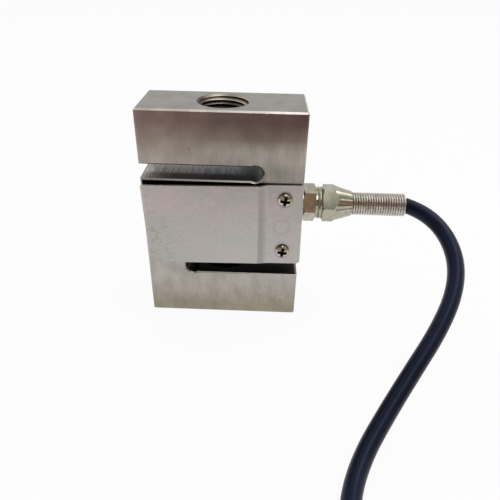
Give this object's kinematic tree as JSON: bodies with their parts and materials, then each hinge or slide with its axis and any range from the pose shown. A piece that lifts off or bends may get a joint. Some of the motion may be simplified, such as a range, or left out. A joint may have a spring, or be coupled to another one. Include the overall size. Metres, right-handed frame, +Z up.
{
  "type": "s type load cell",
  "caption": "S-shaped steel load cell with opposed slots, a threaded load hole in each end, sheet covers over the gauge pockets, and a cable gland with a spring relief.",
  "frame": {"origin": "centre of the block's bottom end face", "axes": "+Z up along the load axis, +X towards the cable gland, -Y towards the front cover; the row stands on its bottom end face"},
  "size_m": [0.13, 0.2145, 0.086],
  "materials": {
    "alloy_steel": "nickel-plated alloy steel, brushed along the load axis",
    "cover_sheet": "bead-blasted stainless sheet",
    "screw_nickel": "bright nickel plate",
    "gland_nickel": "nickel-plated brass",
    "spring_wire": "drawn spring steel wire",
    "sealing_rubber": "soft black sealing rubber",
    "clamp_plastic": "natural polyamide",
    "cable_sheath": "smooth black polyurethane",
    "gauge_film": "amber polyimide film",
    "gauge_foil": "etched constantan foil",
    "circuit_board": "green solder resist",
    "resistor_body": "lacquered resistor body",
    "enamelled_wire": "enamelled copper",
    "red_insulation": "coloured core insulation",
    "black_insulation": "coloured core insulation",
    "green_insulation": "coloured core insulation",
    "white_insulation": "coloured core insulation"
  },
  "bodies": {
    "root": {"black_core": "black_insulation", "black_lead": "black_insulation", "bridge_wires": "enamelled_wire", "cable_coil": "cable_sheath", "cable_entry": "cable_sheath", "cable_run": "cable_sheath", "cable_tail": "cable_sheath", "drain_lead": "spring_wire", "elastic_body": "alloy_steel", "front_cover": "cover_sheet", "front_cover_screw_lower": "screw_nickel", "front_cover_screw_upper": "screw_nickel", "front_gauge": "gauge_film", "front_gauge_grids": "gauge_foil", "front_pocket_seal": "sealing_rubber", "gland_body": "gland_nickel", "gland_clamp_ring": "clamp_plastic", "gland_nut": "gland_nickel", "gland_seal": "sealing_rubber", "gland_washer": "gland_nickel", "green_core": "green_insulation", "green_lead": "green_insulation", "rear_cover": "cover_sheet", "rear_cover_screw_lower": "screw_nickel", "rear_cover_screw_upper": "screw_nickel", "rear_gauge": "gauge_film", "rear_gauge_grids": "gauge_foil", "rear_pocket_seal": "sealing_rubber", "red_core": "red_insulation", "red_lead": "red_insulation", "span_resistor": "resistor_body", "spring_relief": "spring_wire", "tail_sleeve": "cable_sheath", "terminal_board": "circuit_board", "trim_board": "circuit_board", "white_core": "white_insulation", "white_lead": "white_insulation", "zero_resistor": "resistor_body"}
  },
  "joints": []
}
